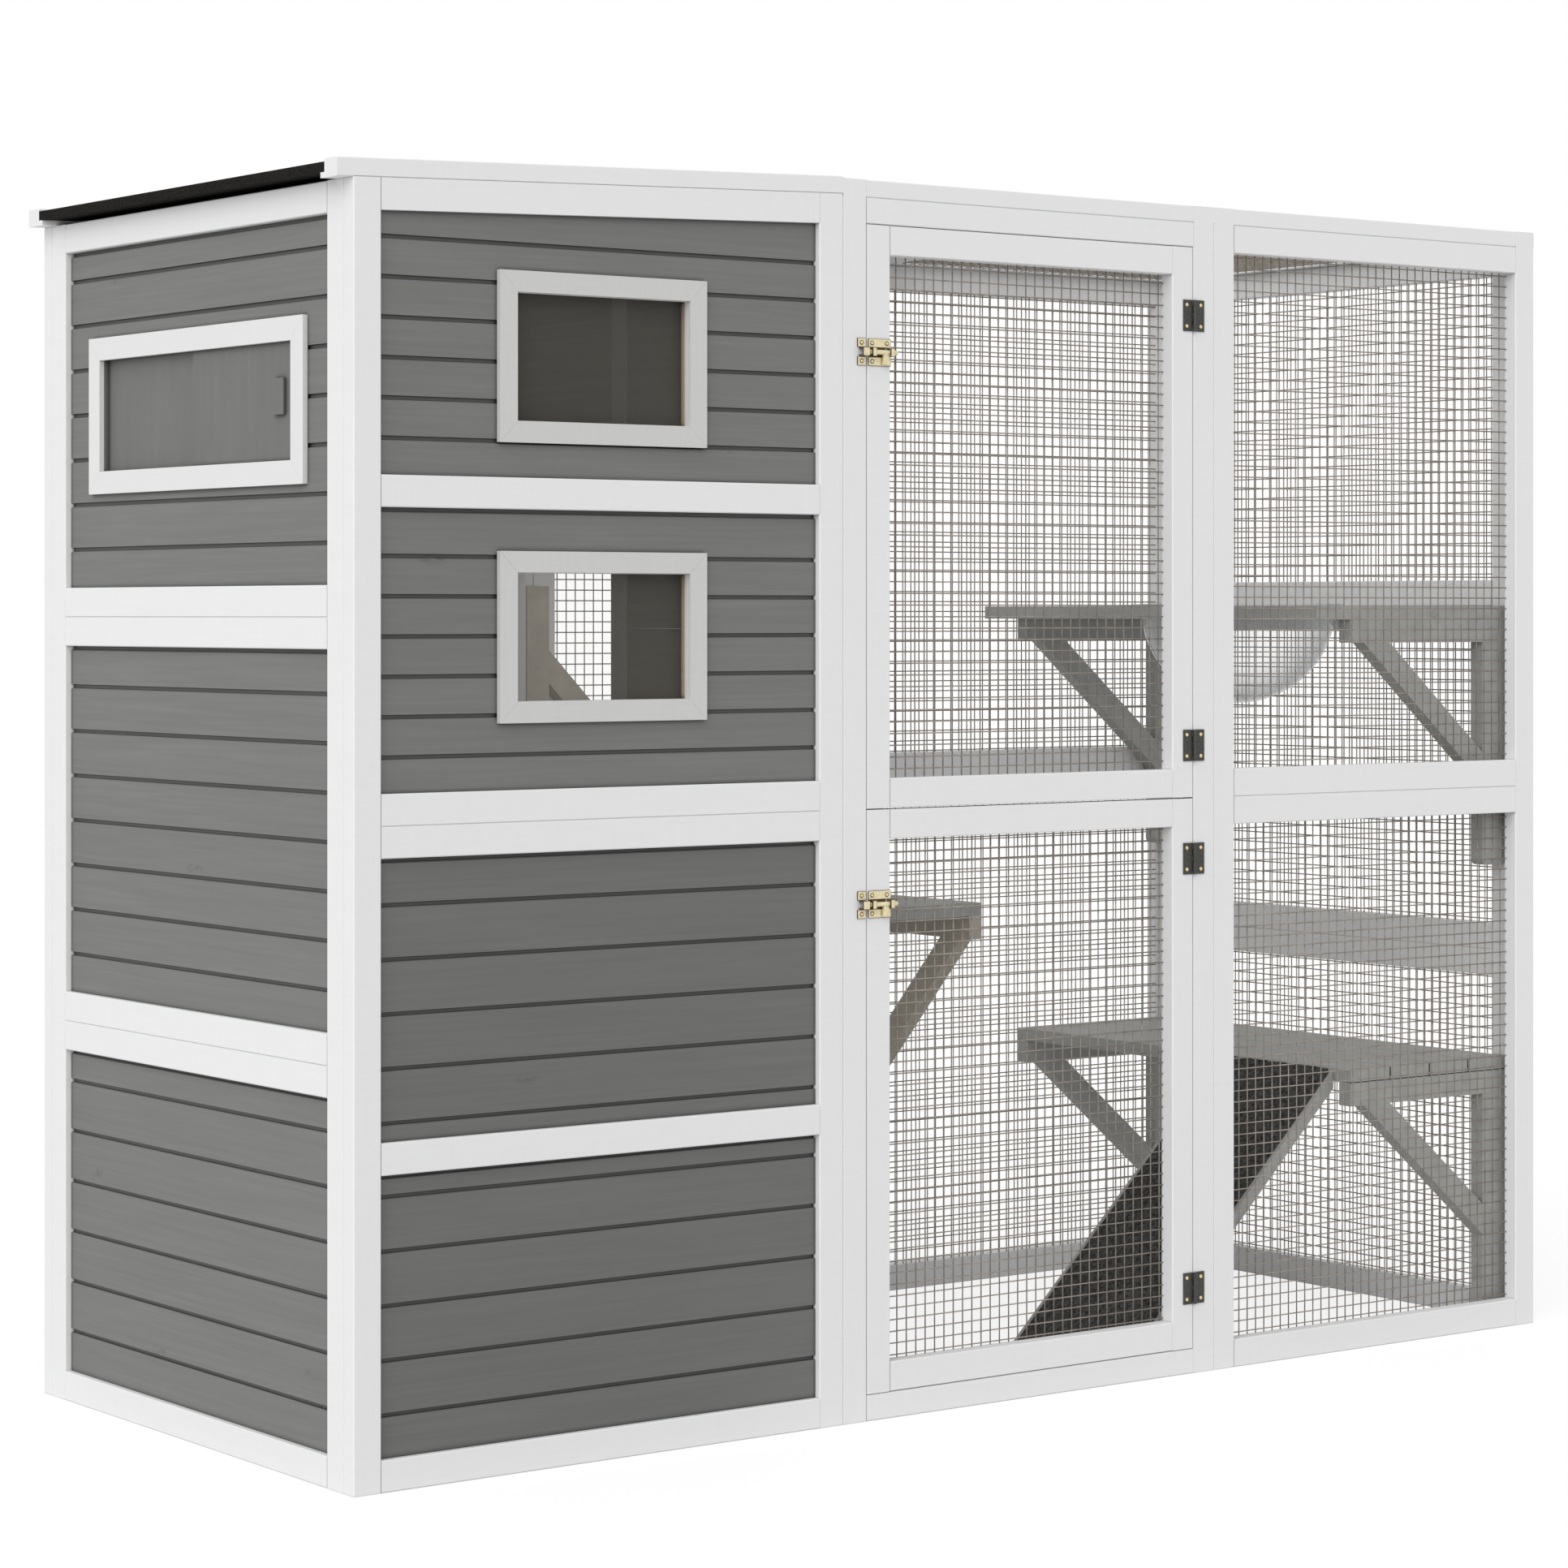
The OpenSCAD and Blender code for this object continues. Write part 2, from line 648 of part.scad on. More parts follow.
// Barrel bolts: drawn back here, they slide towards the keeper on the post
latch_plate_t = 1.2;
strap_wall = 1.4;
bolt_play = 0.25;
bolt_y = -latch_plate_t - bolt_play - bolt_r;
keeper_w = 12;
plate_x = post_left + door_gap + 1;
plate_w = 33;
strap_w = 5.5;
knob_t = 3;
near_strap_x = plate_x + 1;
knob_x = near_strap_x + strap_w + 0.5 + bolt_travel;
far_strap_x = knob_x + knob_w + 0.5;
bolt_len = far_strap_x + strap_w + 6 - near_strap_x;
keeper_play = 2 * bolt_play;
latch_reach = bolt_r + keeper_play + strap_wall - bolt_y;

// A strap over the bolt, with its feet on the plate
module strap(x, z, w, play) {
    outer = bolt_r + play + strap_wall;
    translate([x, 0, z]) rotate([90, 0, 90]) linear_extrude(w) difference() {
        union() {
            translate([bolt_y, 0]) circle(r = outer, $fn = 24);
            translate([bolt_y, -outer]) square([-latch_plate_t - bolt_y, 2 * outer]);
        }
        translate([bolt_y, 0]) circle(r = bolt_r + play, $fn = 24);
        translate([-latch_plate_t, -outer - 1]) square([outer, 2 * outer + 2]);
    }
}

module latch_base(x, z, w)
    translate([x, -latch_plate_t, z - latch_h / 2]) cube([w, latch_plate_t, latch_h]);

module latch_keepers() color(brass) place()
    for (z = [latch_low_z, latch_high_z]) {
        latch_base(post_left - 2 - keeper_w, z, keeper_w);
        strap(post_left - 2 - 1.6 * strap_w, z, 1.6 * strap_w, keeper_play);
    }

module latch_plate(z) {
    latch_base(plate_x, z, plate_w);
    for (x = [near_strap_x, far_strap_x]) strap(x, z, strap_w, bolt_play);
}

// The bolt has a flat knob, turned down over the plate
module latch_bolt(z) translate([0, bolt_y, z]) union() {
    translate([near_strap_x, 0, 0]) rotate([0, 90, 0]) cylinder(r = bolt_r, h = bolt_len, $fn = 24);
    translate([knob_x, -knob_t / 2, -knob_len]) cube([knob_w, knob_t, knob_len]);
}

module upper_latch_plate() color(brass) place() latch_plate(latch_high_z);
module lower_latch_plate() color(brass) place() latch_plate(latch_low_z);
module upper_latch_bolt() color(brass) place() latch_bolt(latch_high_z);
module lower_latch_bolt() color(brass) place() latch_bolt(latch_low_z);

// Platforms against the end wall, on brackets screwed to its uprights
shelf_y = batten_t + shelf_gap;
shelf_len = depth - 2 * shelf_y;
bowl_x = end_x - upper_reach / 2;

module upper_platform() color(shelf_grey) place() translate([0, 0, upper_top - shelf_t])
    linear_extrude(shelf_t) difference() {
        translate([end_x - upper_reach, shelf_y]) square([upper_reach, shelf_len]);
        translate([bowl_x, depth / 2]) circle(r = bowl_r + 0.5, $fn = 64);
    }

// The bowl hangs by its rim in the board's round hole
module clear_bowl() color([0.85, 0.9, 0.92, 0.35]) place() translate([bowl_x, depth / 2, upper_top])
    rotate_extrude($fn = 40) {
        difference() {
            circle(r = bowl_r, $fn = 32);
            circle(r = bowl_r - bowl_wall, $fn = 32);
            translate([-2 * bowl_r, 0]) square(4 * bowl_r);
            translate([-2 * bowl_r, -2 * bowl_r]) square([2 * bowl_r, 4 * bowl_r]);
        }
        translate([bowl_r - bowl_wall, 0]) square([bowl_rim + bowl_wall, bowl_wall]);
    }

module lower_platform() color(shelf_grey) place() {
    plank_w = (lower_reach + plank_gap) / plank_count;
    for (i = [0 : plank_count - 1])
        translate([end_x - lower_reach + i * plank_w, shelf_y + shelf_len, lower_top - shelf_t])
            rotate([90, 0, 0]) linear_extrude(shelf_len) section(plank_w - plank_gap, shelf_t);
}

// A diagonal brace from under an arm, at x, to a leg at leg_x; it falls to the right
module brace(x, leg_x, under, slope) {
    far = x + brace_w / sin(slope);
    fall = tan(slope);
    linear_extrude(bracket_t) polygon([
        [x, under - joint], [far, under - joint],
        [leg_x - joint, under - (leg_x - far) * fall], [leg_x - joint, under - (leg_x - x) * fall]
    ]);
}

// An arm, a leg under its end and a diagonal brace, in one plane; the arm's top is at z
module bracket(z, leg_h, foot_r) {
    arm_x = end_x - lower_reach;
    leg_x = end_x - leg_w;
    under = z - arm_h;
    foot = under - leg_h;
    rotate([90, 0, 0]) {
        linear_extrude(bracket_t) translate([arm_x, under]) square([lower_reach, arm_h]);
        brace(arm_x + 24, leg_x, under, brace_slope);
        linear_extrude(bracket_t) {
            translate([leg_x, foot + foot_r]) square([leg_w, leg_h - foot_r - joint]);
            if (foot_r > 0) {
                translate([leg_x + foot_r, foot]) square([leg_w - 2 * foot_r, 2 * foot_r]);
                for (x = [leg_x + foot_r, end_x - foot_r])
                    translate([x, foot + foot_r]) circle(r = foot_r, $fn = 24);
            }
        }
    }
}

module bracket_pair(z, leg_h, foot_r)
    for (y = [shelf_y + bracket_t, depth - shelf_y]) translate([0, y, 0]) bracket(z, leg_h, foot_r);

module upper_brackets() color(shelf_grey) place() bracket_pair(upper_top - shelf_t, upper_leg_h, leg_round);
module lower_brackets() color(shelf_grey) place()
    bracket_pair(lower_top - shelf_t, lower_top - shelf_t - arm_h, 0);

// Ramp from the lower platform's edge to the ground
ramp_top_x = end_x - lower_reach;
ramp_fall = tan(ramp_slope);

// A sheet lying along the ramp between two heights over its underside, cut off at the ground and the top
module ramp_sheet(low, high) {
    v_low = low / cos(ramp_slope);
    v_high = high / cos(ramp_slope);
    top = lower_top - (ramp_t + carpet_t) / cos(ramp_slope);
    translate([0, ramp_y + ramp_w, 0]) rotate([90, 0, 0]) linear_extrude(ramp_w) polygon([
        [ramp_top_x, top + v_low], [ramp_top_x, top + v_high],
        [ramp_top_x - (top + v_high) / ramp_fall, 0], [ramp_top_x - (top + v_low) / ramp_fall, 0]
    ]);
}

module ramp_board() color(shelf_grey) place() ramp_sheet(0, ramp_t);
module ramp_carpet() color("#3C3C3C") place() ramp_sheet(ramp_t, ramp_t + carpet_t);

// Step on the back wall, between the partition and the bay's far post
step_right = post_right - 6;
back_y = depth - batten_t;

module step_board() color(shelf_grey) place()
    translate([house_w, back_y - step_reach, step_top - shelf_t])
        cube([step_right - house_w, step_reach, shelf_t]);

// A bracket under its right end, and a hanger over its left end
module step_brackets() color(shelf_grey) place() {
    under = step_top - shelf_t - arm_h;
    front = back_y - step_reach;
    leg_y = back_y - leg_w;
    translate([step_right - bracket_t, 0, 0]) mirror([1, -1, 0]) translate([0, bracket_t, 0])
        rotate([90, 0, 0]) {
            linear_extrude(bracket_t) translate([front, under]) square([step_reach, arm_h]);
            linear_extrude(bracket_t) translate([leg_y, under - upper_leg_h])
                square([leg_w, upper_leg_h - joint]);
            brace(front + 18, leg_y, under, 47);
        }
    hanger_x = house_w + 11;
    join_x = hanger_x + batten_w + joint;
    brace_top = hanger_h - 82;
    brace_low = brace_top - brace_w / cos(45);
    translate([0, back_y, step_top]) rotate([90, 0, 0]) {
        linear_extrude(bracket_t) translate([hanger_x, 0]) square([batten_w, hanger_h]);
        linear_extrude(bracket_t) polygon([
            [join_x, brace_top], [join_x, brace_low], [join_x + brace_low, 0], [join_x + brace_top, 0]
        ]);
    }
}

house_front_lower_frame();
house_front_upper_frame();
house_front_siding();
house_back_lower_frame();
house_back_upper_frame();
house_back_siding();
side_lower_frame();
side_middle_frame();
side_upper_frame();
side_siding();
window_trims();
window_panes();
hatch_trim();
hatch_track();
hatch_fixed_leaf();
hatch_sliding_leaf();
hatch_grip();
roof_deck();
roof_battens();
partition_frame();
partition_siding();
house_floors();
bay_front_lower_frame();
bay_front_upper_frame();
bay_back_lower_frame();
bay_back_upper_frame();
run_front_lower_frame();
run_front_upper_frame();
run_back_lower_frame();
run_back_upper_frame();
end_lower_frame();
end_middle_frame();
end_upper_frame();
bay_roof_frame();
run_roof_frame();
front_nets();
back_nets();
end_nets();
roof_nets();
upper_door_frame();
upper_door_net();
lower_door_frame();
lower_door_net();
post_hinge_leaves();
upper_door_hinge_leaves();
lower_door_hinge_leaves();
latch_keepers();
upper_latch_plate();
upper_latch_bolt();
lower_latch_plate();
lower_latch_bolt();
upper_platform();
clear_bowl();
upper_brackets();
lower_platform();
lower_brackets();
ramp_board();
ramp_carpet();
step_board();
step_brackets();
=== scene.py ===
import bmesh
import bpy
import math
from mathutils import Matrix, Vector, noise


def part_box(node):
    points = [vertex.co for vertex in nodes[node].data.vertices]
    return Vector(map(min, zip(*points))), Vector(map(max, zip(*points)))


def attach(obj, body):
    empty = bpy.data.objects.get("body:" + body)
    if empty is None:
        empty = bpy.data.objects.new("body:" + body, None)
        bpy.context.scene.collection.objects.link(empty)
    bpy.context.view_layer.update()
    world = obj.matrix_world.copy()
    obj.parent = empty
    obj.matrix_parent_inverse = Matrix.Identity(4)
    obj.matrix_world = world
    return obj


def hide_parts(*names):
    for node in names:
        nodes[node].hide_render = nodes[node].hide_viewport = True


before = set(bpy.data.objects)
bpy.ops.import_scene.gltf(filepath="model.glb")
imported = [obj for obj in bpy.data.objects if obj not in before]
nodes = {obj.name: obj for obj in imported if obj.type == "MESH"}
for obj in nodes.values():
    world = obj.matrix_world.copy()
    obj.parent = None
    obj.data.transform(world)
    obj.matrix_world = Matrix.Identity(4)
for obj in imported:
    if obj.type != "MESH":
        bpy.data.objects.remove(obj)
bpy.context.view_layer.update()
print("frame loaded:", len(nodes), "nodes")


# helpers for meshes

def addPiece(name, bm, material, body, replaced=(), smooth=False, edgeAndShadeMaterial=None):
    mesh = bpy.data.meshes.new(name)
    bm.to_mesh(mesh)
    bm.free()
    mesh.materials.append(material)
    if edgeAndShadeMaterial:
        mesh.materials.append(edgeAndShadeMaterial)
    if smooth:
        mesh.polygons.foreach_set("use_smooth", [True] * len(mesh.polygons))
    piece = bpy.data.objects.new(name, mesh)
    bpy.context.collection.objects.link(piece)
    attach(piece, body)
    if replaced:
        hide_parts(*replaced)
    return piece


def facesOf(made):
    return {face for vertex in made["verts"] for face in vertex.link_faces}


def mostForward(faces):
    return min(faces, key=lambda face: face.calc_center_median().y)


def useEdgeAndShadeMaterial(faces):
    for face in faces:
        face.material_index = 1


def addBlock(bm, low, high):
    low, high = Vector(low), Vector(high)
    place = Matrix.Translation((low + high) / 2) @ Matrix.Diagonal((*(high - low), 1))
    return facesOf(bmesh.ops.create_cube(bm, size=1, matrix=place))


def addRod(bm, start, end, radius, sides):
    start, end = Vector(start), Vector(end)
    along = end - start
    turn = along.to_track_quat("Z", "Y").to_matrix().to_4x4()
    place = Matrix.Translation((start + end) / 2) @ turn
    bmesh.ops.create_cone(bm, cap_ends=True, segments=sides, radius1=radius, radius2=radius,
                          depth=along.length, matrix=place)


def addDisc(bm, place, sides, radius, frontRadius, height):
    # a round disc that faces -Y
    turn = Matrix.Rotation(math.radians(90), 4, "X")
    return facesOf(bmesh.ops.create_cone(bm, cap_ends=True, segments=sides, radius1=radius,
                                         radius2=frontRadius, depth=height,
                                         matrix=Matrix.Translation(place) @ turn))


# helpers for materials

def startMaterial(name, roughness, metallic=0.0, specular=0.5):
    material = bpy.data.materials.new(name)
    material.use_nodes = True
    tree = material.node_tree
    shader = tree.nodes["Principled BSDF"]
    shader.inputs["Roughness"].default_value = roughness
    shader.inputs["Metallic"].default_value = metallic
    shader.inputs["Specular IOR Level"].default_value = specular
    return material, tree, shader


def objectPlace(tree, scale=(1, 1, 1)):
    coordinates = tree.nodes.new("ShaderNodeTexCoord")
    mapping = tree.nodes.new("ShaderNodeMapping")
    mapping.inputs["Scale"].default_value = scale
    tree.links.new(coordinates.outputs["Object"], mapping.inputs["Vector"])
    return mapping.outputs["Vector"]


def objectAxes(tree):
    coordinates = tree.nodes.new("ShaderNodeTexCoord")
    axes = tree.nodes.new("ShaderNodeSeparateXYZ")
    tree.links.new(coordinates.outputs["Object"], axes.inputs[0])
    return axes.outputs


def addNoise(tree, vector, scale, detail, roughness=0.5, distortion=0.0):
    texture = tree.nodes.new("ShaderNodeTexNoise")
    texture.inputs["Scale"].default_value = scale
    texture.inputs["Detail"].default_value = detail
    texture.inputs["Roughness"].default_value = roughness
    texture.inputs["Distortion"].default_value = distortion
    tree.links.new(vector, texture.inputs["Vector"])
    return texture.outputs["Fac"]


def addRamp(tree, factor, stops):
    ramp = tree.nodes.new("ShaderNodeValToRGB")
    elements = ramp.color_ramp.elements
    while len(elements) < len(stops):
        elements.new(0.5)
    for element, (place, colour) in zip(elements, stops):
        element.position = place
        element.color = (*colour, 1) if isinstance(colour, tuple) else (colour, colour, colour, 1)
    tree.links.new(factor, ramp.inputs["Fac"])
    return ramp.outputs["Color"]


def mixColours(tree, factor, first, second, blend="MIX"):
    mix = tree.nodes.new("ShaderNodeMix")
    mix.data_type = "RGBA"
    mix.blend_type = blend
    for socket, value in ((mix.inputs[0], factor), (mix.inputs[6], first), (mix.inputs[7], second)):
        if isinstance(value, (int, float)):
            socket.default_value = value
        elif isinstance(value, tuple):
            socket.default_value = (*value, 1)
        else:
            tree.links.new(value, socket)
    return mix.outputs[2]


def addMath(tree, operation, first, second=0.0):
    node = tree.nodes.new("ShaderNodeMath")
    node.operation = operation
    for socket, value in zip(node.inputs, (first, second)):
        if isinstance(value, (int, float)):
            socket.default_value = value
        else:
            tree.links.new(value, socket)
    return node.outputs[0]


def addBump(tree, shader, height, distance, strength):
    bump = tree.nodes.new("ShaderNodeBump")
    bump.inputs["Distance"].default_value = distance
    bump.inputs["Strength"].default_value = strength
    tree.links.new(height, bump.inputs["Height"])
    tree.links.new(bump.outputs["Normal"], shader.inputs["Normal"])


def darkenCreases(tree, colour, reach, darkest, clearAt=0.95):
    # joints and corners closer than reach get darker, as they do under a soft light
    crease = tree.nodes.new("ShaderNodeAmbientOcclusion")
    crease.samples = 8
    crease.inputs["Distance"].default_value = reach
    shade = addRamp(tree, crease.outputs["AO"], [(0.4, darkest), (clearAt, 1.0)])
    return mixColours(tree, 1.0, colour, shade, "MULTIPLY")


def insideBox(tree, low, high):
    # 1 between the two corners in X and Z, 0 outside
    axes = objectAxes(tree)
    inside = 1.0
    for axis, i in (("X", 0), ("Z", 2)):
        offset = addMath(tree, "SUBTRACT", axes[axis], (low[i] + high[i]) / 2)
        near = addMath(tree, "LESS_THAN", addMath(tree, "ABSOLUTE", offset), (high[i] - low[i]) / 2)
        inside = addMath(tree, "MULTIPLY", near, inside)
    return inside


def below(tree, height):
    # 1 under this height, 0 above it
    return addMath(tree, "LESS_THAN", objectAxes(tree)["Z"], height)


def linear(red, green, blue):
    # sRGB levels from 0 to 255 as linear light
    def one(value):
        value = value / 255
        return value / 12.92 if value <= 0.04045 else ((value + 0.055) / 1.055) ** 2.4
    return (one(red), one(green), one(blue))


def dress(material, *names):
    for name in names:
        piece = nodes[name]
        if not piece.material_slots:
            piece.data.materials.append(material)
        for materialSlot in piece.material_slots:
            materialSlot.material = material


# white painted battens
whitePaint = {"colour": linear(233, 233, 234), "shade": linear(231, 231, 232), "roughness": 0.55,
              "along": 14, "across": 420, "grainDepth": 0.00003, "crease": 0.003,
              "creaseShade": 0.7}
windowPaint = dict(whitePaint, colour=linear(205, 205, 204), shade=linear(202, 202, 201),
                   creaseShade=1.0)
hatchPaint = dict(whitePaint, colour=linear(226, 226, 226), shade=linear(224, 224, 224))


def makeWhitePaint(name, settings):
    # faint brush marks both level and upright, so that rails and posts show them alike
    material, tree, shader = startMaterial(name, settings["roughness"])
    along, across = settings["along"], settings["across"]
    level = addNoise(tree, objectPlace(tree, (along, along, across)), 1.0, 3, 0.6)
    plumb = addNoise(tree, objectPlace(tree, (across, across, along)), 1.0, 3, 0.6)
    marks = addMath(tree, "MULTIPLY", addMath(tree, "ADD", level, plumb), 0.5)
    tone = addRamp(tree, marks, [(0.4, settings["shade"]), (0.6, settings["colour"])])
    colour = darkenCreases(tree, tone, settings["crease"], settings["creaseShade"])
    tree.links.new(colour, shader.inputs["Base Color"])
    addBump(tree, shader, marks, settings["grainDepth"], 0.4)
    return material


whiteTimber = makeWhitePaint("whiteTimber", whitePaint)
windowFinish = makeWhitePaint("windowPaint", windowPaint)
dress(whiteTimber, "house_front_lower_frame", "house_front_upper_frame", "house_back_lower_frame",
      "house_back_upper_frame", "side_lower_frame", "side_middle_frame", "side_upper_frame",
      "roof_battens", "bay_front_lower_frame", "bay_front_upper_frame", "run_front_lower_frame",
      "run_front_upper_frame", "bay_roof_frame", "run_roof_frame", "upper_door_frame",
      "lower_door_frame", "partition_frame", "bay_back_lower_frame", "bay_back_upper_frame",
      "run_back_lower_frame", "run_back_upper_frame", "end_lower_frame", "end_middle_frame",
      "end_upper_frame")
dress(windowFinish, "window_trims")
dress(makeWhitePaint("hatchPaint", hatchPaint), "hatch_trim")
print("white paint done")


# grey stained boards
windowOpening = {"height": 0.139, "trimWidth": 0.023, "overlap": 0.0002}


def windowOpenings(margin=0.0):
    # the two openings inside the window trims, with a margin round each
    low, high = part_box("window_trims")
    trim, height = windowOpening["trimWidth"], windowOpening["height"]
    left, right = low[0] + trim - margin, high[0] - trim + margin
    return [((left, 0, bottom - margin), (right, 0, bottom + height + margin))
            for bottom in (low[2] + trim, high[2] - trim - height)]


def makeStain(name, settings):
    # the grain runs along the boards, in the direction where its scale is smallest
    material, tree, shader = startMaterial(name, settings["roughness"])
    broadScale = [grain * wide for grain, wide in zip(settings["grain"], settings["broad"])]
    fibres = addNoise(tree, objectPlace(tree, settings["grain"]), 1.0, 6, 0.65, 0.4)
    broad = addNoise(tree, objectPlace(tree, broadScale), 1.0, 3, 0.5)
    patches = addNoise(tree, objectPlace(tree, settings["patches"]), 1.0, 3, 0.5, 0.6)
    tone = addRamp(tree, fibres, [(0.3, settings["dark"]), (0.52, settings["middle"]),
                                  (0.75, settings["pale"])])
    band = addRamp(tree, broad, [(0.3, 0.97), (0.7, 1.02)])
    cloud = addRamp(tree, patches, [(0.3, 0.975), (0.65, 1.0), (0.8, 1.06)])
    colour = mixColours(tree, 1.0, tone, band, "MULTIPLY")
    colour = mixColours(tree, 1.0, colour, cloud, "MULTIPLY")
    if settings["knots"]:
        cells = tree.nodes.new("ShaderNodeTexVoronoi")
        cells.inputs["Scale"].default_value = 1.0
        tree.links.new(objectPlace(tree, settings["knotScale"]), cells.inputs["Vector"])
        knot = addRamp(tree, cells.outputs["Distance"], [(0.0, 1.0), (0.045, 1.0), (0.09, 0.0)])
        streak = addNoise(tree, objectPlace(tree, settings["knotStreaks"]), 1.0, 3)
        broken = addRamp(tree, streak, [(0.4, 0.0), (0.6, 1.0)])
        knot = mixColours(tree, 1.0, knot, broken, "MULTIPLY")
        strength = addMath(tree, "MULTIPLY", knot, settings["knots"])
        colour = mixColours(tree, strength, colour, settings["knotColour"])
    if settings["lowerTone"]:  # the boards below the seam height are darker
        seam, factor = settings["lowerTone"]
        colour = mixColours(tree, below(tree, seam), colour, (factor, factor, factor), "MULTIPLY")
    for low, high in settings["rawEdges"]:
        colour = mixColours(tree, insideBox(tree, low, high), colour, settings["rawWood"])
    colour = darkenCreases(tree, colour, settings["crease"], settings["creaseShade"])
    tree.links.new(colour, shader.inputs["Base Color"])
    addBump(tree, shader, fibres, settings["grainDepth"], 0.7)
    return material


boardStain = {"dark": linear(110, 111, 109), "middle": linear(115, 116, 114),
              "pale": linear(120, 121, 118), "grain": (5, 5, 190), "broad": (0.9, 0.9, 0.12),
              "patches": (2.4, 2.4, 9.0), "roughness": 0.6, "grainDepth": 0.0001,
              "knots": 0.55, "knotScale": (4.0, 4.0, 12.0), "knotStreaks": (90, 90, 260),
              "knotColour": linear(82, 82, 80), "crease": 0.006, "creaseShade": 0.2,
              "rawEdges": [], "rawWood": linear(165, 147, 127), "lowerTone": None}
# the boards' cut edges are unpainted in the window openings
frontStain = dict(boardStain, rawEdges=windowOpenings(windowOpening["overlap"]),
                  lowerTone=(0.7, 0.82))
sideStain = dict(boardStain, middle=linear(115, 116, 113), pale=linear(121, 121, 118))
hatchStain = dict(boardStain, dark=linear(105, 106, 103), middle=linear(108, 109, 106),
                  pale=linear(112, 113, 110), grain=(60, 60, 9), knots=0.0)
innerStain = dict(boardStain, dark=linear(125, 121, 113), middle=linear(131, 127, 118),
                  pale=linear(137, 132, 122))
dress(makeStain("frontStain", frontStain), "house_front_siding")
dress(makeStain("boardStain", boardStain), "house_back_siding")
dress(makeStain("innerStain", innerStain), "partition_siding")
dress(makeStain("sideStain", sideStain), "side_siding")
dress(makeStain("hatchStain", hatchStain), "hatch_fixed_leaf", "hatch_sliding_leaf", "hatch_track",
      "hatch_grip")

shelfStain = dict(boardStain, dark=linear(160, 161, 158), middle=linear(170, 171, 168),
                  pale=linear(179, 179, 176), grain=(90, 9, 90), knots=0.4,
                  knotScale=(9.0, 4.0, 9.0), knotColour=linear(124, 123, 120), creaseShade=0.6)
bracketStain = dict(shelfStain, grain=(40, 40, 40), knots=0.0)
hangerStain = dict(bracketStain, dark=linear(182, 175, 163), middle=linear(193, 186, 173),
                   pale=linear(203, 195, 181))
dress(makeStain("shelfStain", shelfStain), "upper_platform", "lower_platform", "step_board",
      "ramp_board", "house_floors")
dress(makeStain("bracketStain", bracketStain), "upper_brackets", "lower_brackets")
dress(makeStain("hangerStain", hangerStain), "step_brackets")
print("stained boards done")


# metal, felt, carpet and acrylic
wireMetal = {"dark": linear(132, 123, 114), "pale": linear(158, 148, 137), "scale": 60.0,
             "roughness": 0.5, "metallic": 0.1, "bump": 0.0001, "crease": 0.0}
hingeMetal = {"dark": linear(58, 58, 55), "pale": linear(74, 74, 70), "scale": 300.0,
              "roughness": 0.45, "metallic": 0.5, "bump": 0.00005, "crease": 0.0}
latchMetal = {"dark": linear(220, 206, 162), "pale": linear(242, 230, 194), "scale": 500.0,
              "roughness": 0.35, "metallic": 0.3, "bump": 0.00003, "crease": 0.0016,
              "creaseShade": linear(92, 62, 28), "creaseOpen": 0.8}
# dark brown for the latches' cut edges, and painted shade on their bevels, in the screws'
# countersinks and in the recess under the bolt
latchEdgeAndShade = {"dark": linear(58, 42, 24), "pale": linear(96, 74, 44), "scale": 700.0,
             "roughness": 0.5, "metallic": 0.3, "bump": 0.00003, "crease": 0.0}
screwMetal = {"dark": linear(214, 184, 128), "pale": linear(242, 216, 164), "scale": 600.0,
              "roughness": 0.35, "metallic": 0.4, "bump": 0.00003, "crease": 0.0}
roofFelt = {"dark": linear(23, 22, 20), "pale": linear(43, 42, 39), "scale": 420.0,
            "roughness": 0.9, "specular": 0.05, "bump": 0.0008}
rampPile = {"dark": linear(38, 38, 38), "pale": linear(92, 92, 91), "scale": 190.0,
            "roughness": 0.95, "specular": 0.2, "bump": 0.002}
acrylic = {"face": 0.05, "rim": 0.75, "blend": 0.35, "roughness": 0.04, "ior": 1.49,
           "dim": linear(206, 212, 214), "pale": linear(218, 223, 224)}
paneAcrylic = dict(acrylic, face=0.052, dim=linear(226, 220, 208), pale=linear(233, 227, 215))


def makeMetal(name, settings):
    material, tree, shader = startMaterial(name, settings["roughness"], settings["metallic"])
    spots = addNoise(tree, objectPlace(tree), settings["scale"], 3, 0.6)
    tone = addRamp(tree, spots, [(0.35, settings["dark"]), (0.65, settings["pale"])])
    if settings["crease"]:
        tone = darkenCreases(tree, tone, settings["crease"], settings["creaseShade"],
                             settings["creaseOpen"])
    tree.links.new(tone, shader.inputs["Base Color"])
    addBump(tree, shader, spots, settings["bump"], 0.5)
    return material


def makeFelt(name, settings):
    material, tree, shader = startMaterial(name, settings["roughness"],
                                           specular=settings["specular"])
    grit = addNoise(tree, objectPlace(tree), settings["scale"], 3, 0.7)
    tree.links.new(addRamp(tree, grit, [(0.35, settings["dark"]), (0.65, settings["pale"])]),
                   shader.inputs["Base Color"])
    addBump(tree, shader, grit, settings["bump"], 0.8)
    return material


def makeAcrylic(name, settings):
    # thin clear sheet: almost nothing face on, and denser where it is seen along its surface
    material, tree, shader = startMaterial(name, settings["roughness"])
    shader.inputs["IOR"].default_value = settings["ior"]
    haze = addNoise(tree, objectPlace(tree), 8.0, 2)
    tree.links.new(addRamp(tree, haze, [(0.3, settings["dim"]), (0.8, settings["pale"])]),
                   shader.inputs["Base Color"])
    tilt = tree.nodes.new("ShaderNodeLayerWeight")
    tilt.inputs["Blend"].default_value = settings["blend"]
    cover = addRamp(tree, tilt.outputs["Facing"],
                    [(0.15, settings["face"]), (0.95, settings["rim"])])
    tree.links.new(cover, shader.inputs["Alpha"])
    return material


